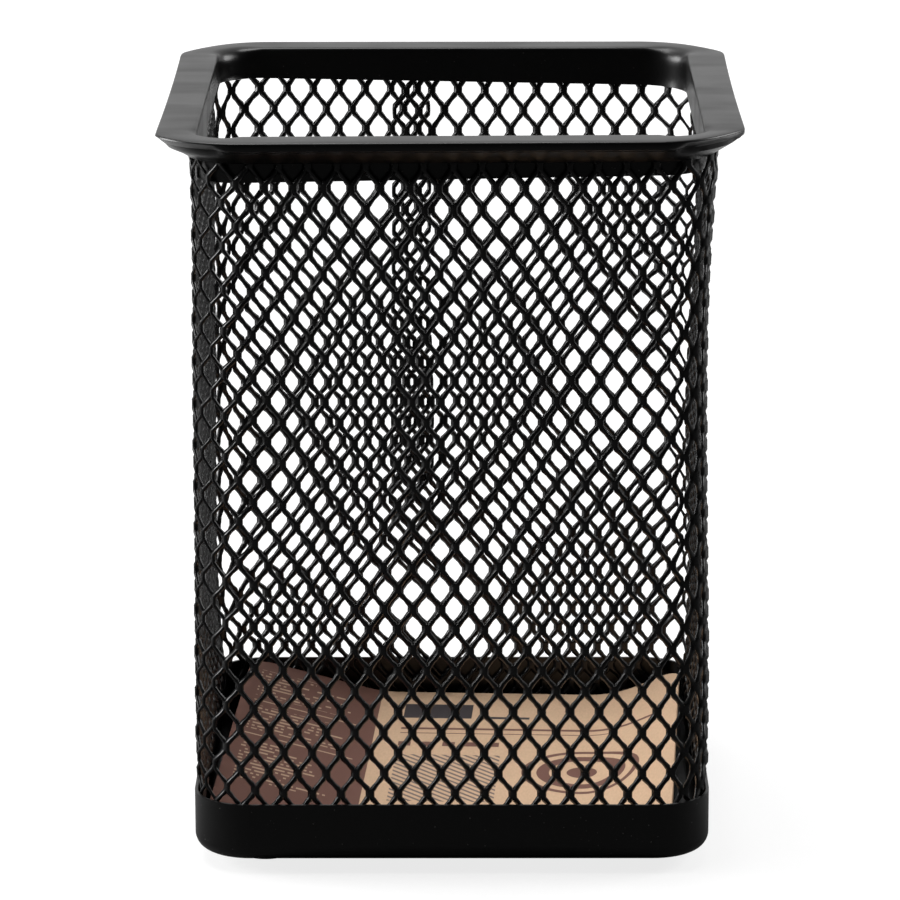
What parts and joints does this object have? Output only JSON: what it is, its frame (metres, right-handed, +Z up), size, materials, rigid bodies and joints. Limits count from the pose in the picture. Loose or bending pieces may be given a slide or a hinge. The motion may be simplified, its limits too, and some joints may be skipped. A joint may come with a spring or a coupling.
{
  "type": "mesh pen cup",
  "caption": "Square desk pen cup with an expanded steel mesh wall, folded flat rim, pressed base pan, rubber feet and a loose card insert.",
  "frame": {"origin": "on the desk under the middle of the cup: bottom centre of the overall box", "axes": "+Z up out of the cup's mouth, -Y towards the front wall, +X to the right seen from the front"},
  "size_m": [0.078, 0.078, 0.102],
  "materials": {
    "rim_coat": "satin black powder coat",
    "mesh_coat": "semi-gloss black coat",
    "pan_coat": "satin black powder coat",
    "foot_rubber": "matt",
    "printed_card": "uncoated kraft card, printed"
  },
  "bodies": {
    "cup": {"rim": "rim_coat", "base_pan": "pan_coat", "mesh_wall_front": "mesh_coat", "mesh_wall_right": "mesh_coat", "mesh_wall_back": "mesh_coat", "mesh_wall_left": "mesh_coat", "mesh_corner_front_right": "mesh_coat", "mesh_corner_back_right": "mesh_coat", "mesh_corner_back_left": "mesh_coat", "mesh_corner_front_left": "mesh_coat", "foot_front_left": "foot_rubber", "foot_front_right": "foot_rubber", "foot_back_right": "foot_rubber", "foot_back_left": "foot_rubber"},
    "card": {"card_insert": "printed_card"}
  },
  "joints": [
    {"name": "card_lift", "type": "slide", "parent": "cup", "child": "card", "axis": [0, 0, 1], "range_m": [0, 0.105]}
  ]
}
